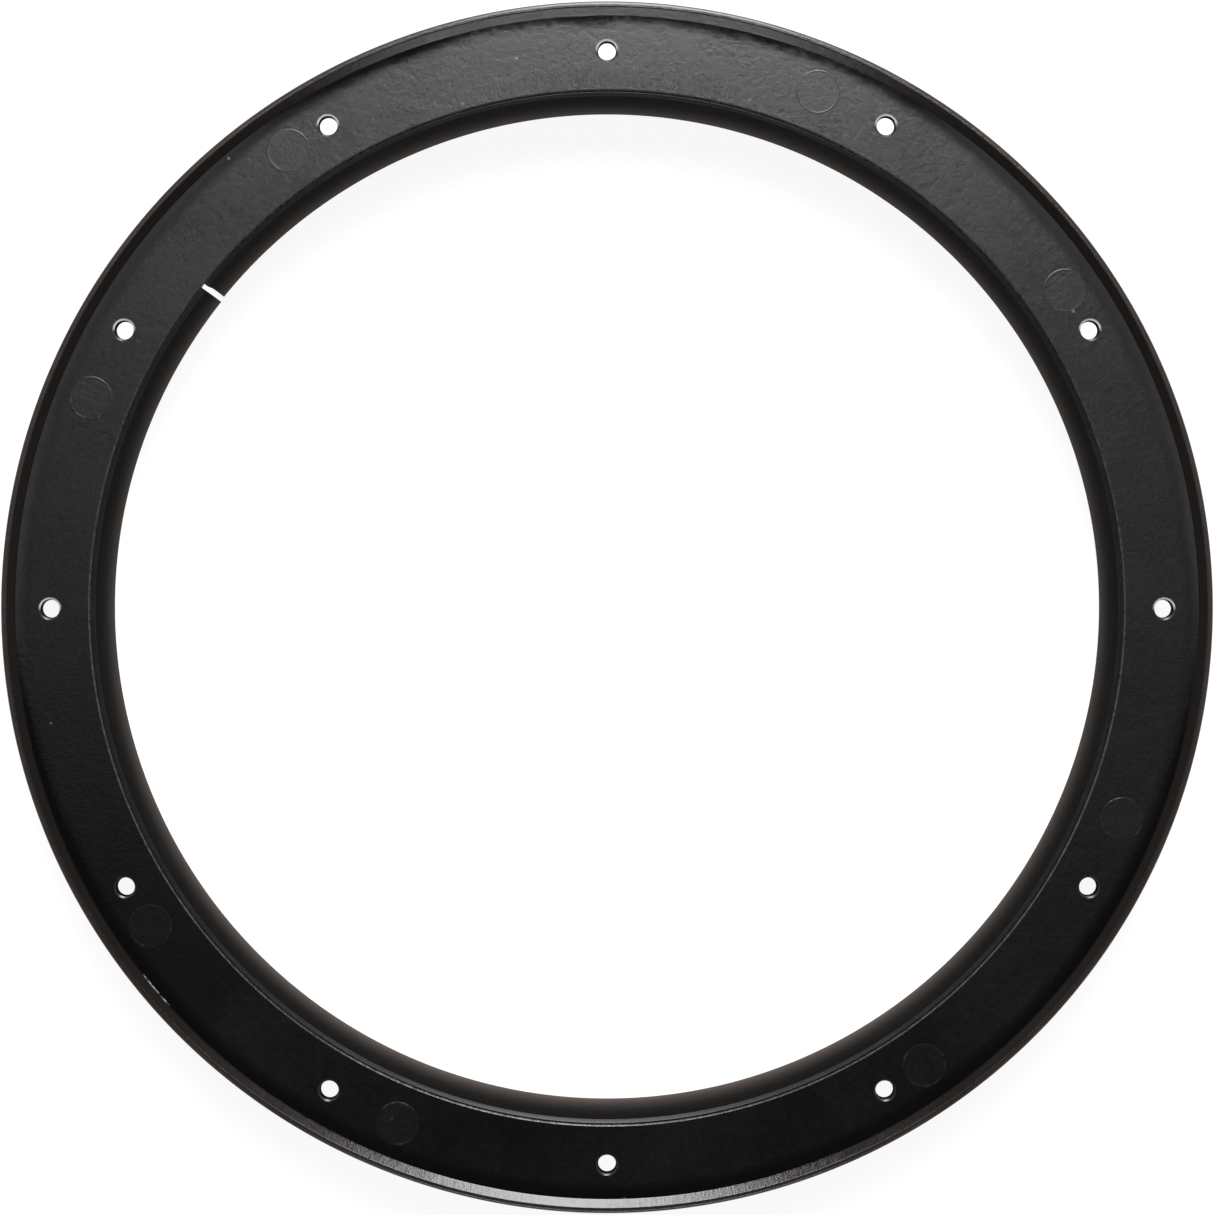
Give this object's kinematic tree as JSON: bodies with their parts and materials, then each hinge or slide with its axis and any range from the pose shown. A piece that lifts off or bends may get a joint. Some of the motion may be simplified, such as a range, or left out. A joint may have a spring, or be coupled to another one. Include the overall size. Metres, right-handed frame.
{
  "type": "toilet flange",
  "caption": "Large black plastic ring flange with raised lip and screw circle, and a split collar snapped into its bore.",
  "frame": {"origin": "centre of the screw circle, on the flange's flat underside", "axes": "+Z along the ring's axis, out of the side with the raised lip; +X through one of the screw holes"},
  "size_m": [0.2934, 0.2934, 0.0284],
  "materials": {
    "flange_plastic": "semi-gloss moulded black plastic with scuffs",
    "collar_plastic": "satin moulded black plastic with fine rings"
  },
  "bodies": {
    "flange": {"flange_ring": "flange_plastic"},
    "collar": {"split_collar": "collar_plastic"}
  },
  "joints": [
    {"name": "collar_turn", "type": "hinge", "parent": "flange", "child": "collar", "pos_m": [0, 0, 0], "axis": [0, 0, 1], "continuous": true}
  ]
}
